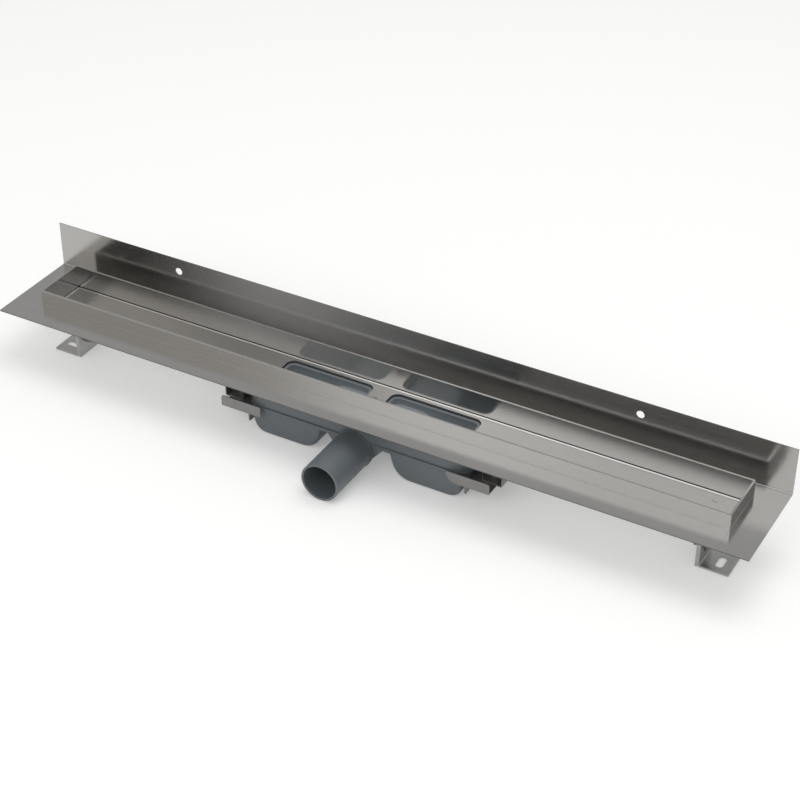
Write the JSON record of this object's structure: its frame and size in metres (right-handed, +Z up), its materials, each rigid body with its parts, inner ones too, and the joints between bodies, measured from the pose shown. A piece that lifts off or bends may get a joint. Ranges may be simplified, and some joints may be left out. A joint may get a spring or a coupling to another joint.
{
  "type": "linear shower drain",
  "caption": "Wall-side linear shower drain: folded steel trough with hemmed rims and a tall wall flange, a low moulded trap with a horizontal outlet, and levelling feet.",
  "frame": {"origin": "middle of the whole drain's footprint, at the undersides of the feet", "axes": "+X along the channel, +Y at the wall behind it, +Z up; the outlet points along -Y"},
  "size_m": [1.02, 0.1862, 0.141],
  "materials": {
    "stainless_steel": "fine brushed, bright",
    "plated_steel": "plated, satin",
    "trap_plastic": "moulded, satin",
    "insert_plastic": "moulded, satin",
    "rubber": "matt",
    "brass": "turned"
  },
  "bodies": {
    "root": {"channel_body": "stainless_steel", "left_end_piece": "stainless_steel", "right_end_piece": "stainless_steel", "trap_gasket": "rubber", "trap_cover": "trap_plastic", "trap_body": "trap_plastic", "left_trap_insert": "insert_plastic", "right_trap_insert": "insert_plastic", "left_insert_seal": "rubber", "right_insert_seal": "rubber", "trap_screw": "plated_steel", "screw_insert": "brass", "left_cradle": "stainless_steel", "right_cradle": "stainless_steel", "left_hanger": "stainless_steel", "right_hanger": "stainless_steel", "cradle_bolts": "plated_steel", "cradle_nuts": "plated_steel", "left_leg": "stainless_steel", "right_leg": "stainless_steel", "left_foot": "stainless_steel", "right_foot": "stainless_steel", "foot_bolts": "plated_steel", "foot_washers": "plated_steel", "foot_nuts": "plated_steel"}
  },
  "joints": []
}
